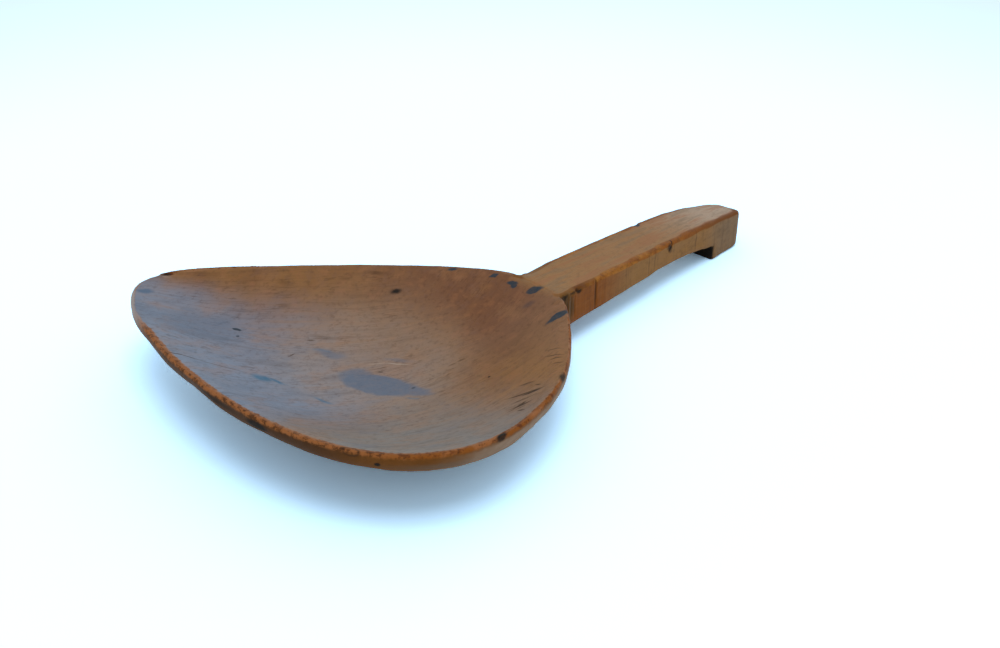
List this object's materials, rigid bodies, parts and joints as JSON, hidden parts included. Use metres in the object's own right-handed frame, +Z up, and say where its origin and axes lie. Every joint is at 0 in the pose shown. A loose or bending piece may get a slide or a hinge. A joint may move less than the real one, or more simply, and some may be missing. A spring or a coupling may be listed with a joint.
{
  "type": "butter scoop",
  "caption": "Hand-carved wooden butter scoop: a wide, shallow, lopsided bowl with a pared lip and a flat handle ending in a hook, for working and lifting butter.",
  "frame": {"origin": "on the surface that the scoop rests on, where the handle's centre line passes over the bowl's worn foot", "axes": "+X along the handle from the bowl to the hook, +Y towards the bowl's long corner, +Z up out of the hollow"},
  "size_m": [0.2665, 0.175, 0.0323],
  "materials": {
    "wood": "old bare wood, worn to a satin patina, amber on the worn edges and grey-blue in the bowl"
  },
  "bodies": {
    "root": {"scoop": "wood"}
  },
  "joints": []
}
